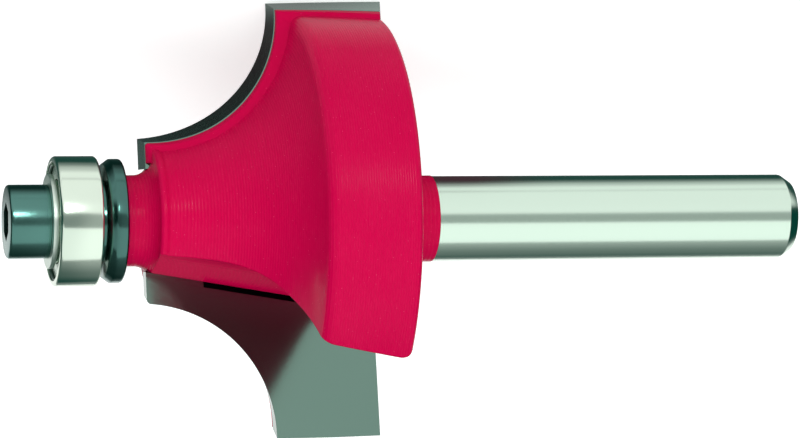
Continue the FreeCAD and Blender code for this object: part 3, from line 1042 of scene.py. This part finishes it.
def add_fastening(assembly: Assembly) -> None:
    """Builds the dust collar, the washer and the socket screw that hold the bearing."""
    p = PILOT
    turned = assembly.turned
    hub, foot, bevel, rim, back = p.collar_rounds
    turned("collar", rounded([
        (p.back, p.bore_radius), (p.back, p.collar_hub_radius, hub),
        (p.collar_rim, p.collar_hub_radius, foot),
        (p.collar_rim, p.collar_radius - p.collar_bevel_depth, bevel),
        (p.collar_rim + p.collar_bevel_length, p.collar_radius, rim),
        (TURNING.boss_front, p.collar_radius, back), (TURNING.boss_front, p.bore_radius),
    ]), "dust_collar", "cutter", "blackened_steel", Surface.COLLAR)
    bore, rim, back = p.washer_rounds
    turned("washer", rounded([
        (p.washer_front, p.washer_bore, bore), (p.washer_front, p.washer_radius, rim),
        (p.front, p.washer_radius, back), (p.front, p.washer_bore, back),
    ]), "pilot_washer", "cutter", "pressed_steel", Surface.WASHER)
    crown, under, neck, end = p.screw_rounds
    screw = rounded([
        (p.screw_top, 0.0), (p.screw_top, p.screw_head_radius, crown),
        (p.washer_front, p.screw_head_radius, under),
        (p.washer_front, p.screw_stem_radius, neck),
        (p.screw_end, p.screw_stem_radius, end), (p.screw_end, 0.0)], closed=False)
    head = new_object("screw", spun(screw, closed=False, steps=STEPS.ring))
    reach = p.hex_across / sqrt(3)
    corners = [Vector((p.screw_top - TOOL_MARGIN, reach * sin(turn), reach * cos(turn)))
               for turn in (radians(60 * side) for side in range(6))]
    socket = prism(corners, Vector((TOOL_MARGIN + p.hex_depth, 0, 0)))
    combine(head, [new_object("socket", socket)], "DIFFERENCE")
    assembly.place(head, "pilot_screw", "cutter", "blackened_steel", [Surface.BLACK])


# Floor, light and camera

@dataclass(frozen=True)
class Lamp:
    """Rectangular lamp that faces the bit, in metres and watts."""

    name: str
    way: Triple
    power: float
    distance: float = 0.8
    size: Pair = (0.6, 0.6)
    shift: float = 0.0
    mirrored: bool = False
    diffuse: bool = True


LAMPS = (
    Lamp("softbox", (0, cos(radians(70.0)), sin(radians(70.0))), 0.72 * pi * (0.53 * 1.3),
         0.45, (1.3, 0.53), -0.10, mirrored=True),
    Lamp("front_fill", (0.10, 0.9, 0.35), 1.95),
    Lamp("pilot_fill", (-0.85, 0.45, 0.25), 0.85),
    Lamp("spark", (-0.02, 0.995, 0.09), 0.5, 0.6, (0.08, 0.08), mirrored=True, diffuse=False),
    Lamp("top_fill", (0, 0.05, 1.0), 0.9),
)


@dataclass(frozen=True)
class Studio:
    """Floor, lamps and world, with rows of (value, level) pairs that smooth steps join.

    In reflections the floor's level goes by y over the height of the bit's axis, which paints
    the bit's shadow under it, and by how far x is past the bit's ends.
    """

    floor_size: float = 6.0
    floor_color: Triple = (0.87, 0.87, 0.87)
    # Painted shadow: in reflections the floor is dark close under the bit.
    floor_shadow_rows: Rows = ((-2.0, 1.0), (-1.35, 0.18), (-0.13, 0.06), (0.05, 0.06), (0.18, 0.20),
                        (0.44, 0.60), (0.70, 0.97), (0.92, 0.95), (1.01, 0.66), (1.10, 0.98))
    floor_end_rows: Rows = ((0.8, 1.0), (1.6, 0.045))
    bit_reach: float = 0.03
    end_spread: float = 0.02
    eye_glow: float = 0.64
    # Painted reflection: red bounce light from the coated head on the floor near it, seen in
    # reflections.
    red_bounce_color: Triple = (0.070, 0.028, 0.040)
    red_bounce_rows: Rows = ((-0.022, 0.0), (-0.014, 1.0), (0.006, 1.0), (0.014, 0.0))
    deep_level: float = 0.045
    deep_color: Triple = (0.0, 0.045, 0.036)
    horizon_level: float = 1.02
    horizon_edge: float = sin(radians(10))
    sky_edge: float = sin(radians(15))
    sky_rows: Rows = ((0.12, 0.26), (0.32, 0.42))
    back_rows: Rows = ((-0.95, 0.22), (-0.75, 0.45), (-0.15, 1.0))
    side_rows: Rows = ((-0.90, 0.06), (-0.55, 0.95), (0.62, 1.0), (0.88, 0.045))
    aim: float = -5.0

    def build(self, tool: ToolFrame) -> None:
        """Adds the floor, the world and the lamps."""
        self.floor(tool)
        self.world()
        centre = tool.matrix @ (Vector((self.aim, 0, 0)) * MM)
        for lamp in LAMPS:
            self.light(lamp, centre + Vector((lamp.shift, 0, 0)))

    def tinted(self, graph: Graph, level: Socket) -> Socket:
        """Color of a level of the surroundings, which are deeper green where they are dark."""
        share = graph.span(level, self.deep_level, 1.0, 0.0, 1.0)
        return graph.mix(share, rgba(self.deep_color), rgba(WHITE))

    def faded(self, graph: Graph, value: Socket, rows: Rows) -> Socket:
        """Level that depends on a value, from rows of values and levels."""
        level = None
        for (start, low), (end, high) in zip(rows, rows[1:]):
            if level is None:
                level = graph.span(value, start, end, low, high, "SMOOTHSTEP")
            else:
                step = graph.span(value, start, end, 0.0, high - low, "SMOOTHSTEP")
                level = graph.plus(level, step)
        return level

    def floor(self, tool: ToolFrame) -> None:
        """Floor plane, white to the eye; in reflections it shows a painted shadow close under
        the bit and a painted red bounce near the head.
        """
        bm = bmesh.new()
        bmesh.ops.create_grid(bm, x_segments=1, y_segments=1, size=self.floor_size / 2)
        floor = new_object("floor", bm)
        material = bpy.data.materials.new("floor")
        graph = Graph(material)
        path = graph.add("LightPath").outputs
        mirrored = graph.math("MAXIMUM", path["Is Glossy Ray"], path["Is Transmission Ray"])
        x, y, _ = graph.split(graph.add("TexCoord").outputs["Object"])
        origin, forward = tool.matrix.translation, tool.matrix.col[0]
        rise = forward[2] / forward[0]
        height = graph.times_plus(x, rise, origin[2] - origin[0] * rise)
        # Painted shadow of the bit on the floor, seen only in reflections.
        under = self.faded(graph, graph.math("DIVIDE", y, height), self.floor_shadow_rows)
        side = graph.plus(graph.unsigned(y), self.end_spread)
        past = graph.minus(graph.unsigned(x), self.bit_reach)
        ends = self.faded(graph, graph.math("DIVIDE", past, side), self.floor_end_rows)
        tone = graph.times(under, ends)
        # Painted red bounce light near the head, mixed in where the painted shadow is dark.
        near = self.faded(graph, x, self.red_bounce_rows)
        color = graph.mix(graph.times(near, graph.minus(1.0, tone)), self.tinted(graph, tone),
                          rgba(self.red_bounce_color))
        matt = graph.add("BsdfDiffuse", Color=rgba(self.floor_color))
        glow = graph.add("Emission", Strength=graph.times(path["Is Camera Ray"], self.eye_glow))
        both = graph.add("AddShader", i0=matt.outputs[0], i1=glow.outputs[0])
        card = graph.add("Emission", Color=color, Strength=1.0)
        seen = graph.add("MixShader", i0=mirrored, i1=both.outputs[0], i2=card.outputs[0])
        graph.add("OutputMaterial", Surface=seen.outputs[0])
        floor.data.materials.append(material)

    def world(self) -> None:
        """World, pale near the horizon, grey above, dark at the ends and white to the eye."""
        world = bpy.data.worlds.new("studio")
        bpy.context.scene.world = world
        graph = Graph(world)
        along, front, up = graph.split(graph.add("TexCoord").outputs["Generated"])
        sky = self.faded(graph, along, self.sky_rows)
        share = self.faded(graph, up, ((self.horizon_edge, 0.0), (self.sky_edge, 1.0)))
        level = graph.add("Mix", {"data_type": "FLOAT"}, i0=share, i2=self.horizon_level, i3=sky)
        back = self.faded(graph, front, self.back_rows)
        ends = self.faded(graph, along, self.side_rows)
        level = graph.times(graph.times(level.outputs[0], back), ends)
        eye = graph.add("LightPath").outputs["Is Camera Ray"]
        color = graph.mix(eye, self.tinted(graph, level), rgba(WHITE))
        background = graph.add("Background", Color=color, Strength=1.0)
        graph.add("OutputWorld", Surface=background.outputs[0])

    def light(self, lamp: Lamp, centre: Vector) -> None:
        """Adds a lamp that faces a point."""
        light = bpy.data.lights.new(lamp.name, "AREA")
        light.shape = "RECTANGLE"
        light.size, light.size_y = lamp.size
        light.energy = lamp.power
        obj = bpy.data.objects.new(lamp.name, light)
        way = Vector(lamp.way).normalized()
        across = Vector((1, 0, 0))
        across = (across - way * across.dot(way)).normalized()
        obj.matrix_world = posed(centre + way * lamp.distance, across, way.cross(across), way)
        obj.visible_camera = False
        obj.visible_glossy = lamp.mirrored
        obj.visible_diffuse = lamp.diffuse
        bpy.context.scene.collection.objects.link(obj)


@dataclass(frozen=True)
class View:
    """Camera fitted to the photo, in the bit's own frame, in mm."""

    position: Triple = (-61.37, -253.19, 0.46)
    forward: Triple = (0.24274, 0.97008, -0.00183)
    up: Triple = (0.00753, 0.0, 0.99997)
    lens: float = 157.297
    sensor: float = 36.0
    clip: Pair = (0.01, 50.0)

    def build(self, tool: ToolFrame) -> None:
        """Adds the camera."""
        data = bpy.data.cameras.new("camera")
        data.lens = self.lens
        data.sensor_width = self.sensor
        data.sensor_fit = "HORIZONTAL"
        data.clip_start, data.clip_end = self.clip
        camera = bpy.data.objects.new("camera", data)
        camera.matrix_world = tool.laid(self.position, self.forward, self.up)
        bpy.context.scene.collection.objects.link(camera)
        bpy.context.scene.camera = camera


def main() -> None:
    """Builds the whole picture."""
    logging.basicConfig(level=logging.INFO)
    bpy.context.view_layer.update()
    tool = ToolFrame.from_joints(frame["joints"])
    assembly = Assembly(tool)
    add_cutter(assembly)
    add_bearing(assembly)
    add_fastening(assembly)
    Studio().build(tool)
    View().build(tool)
    bpy.context.scene.view_settings.view_transform = "Standard"
    log.info("%d pieces placed", assembly.count)


if __name__ == "__main__":
    main()
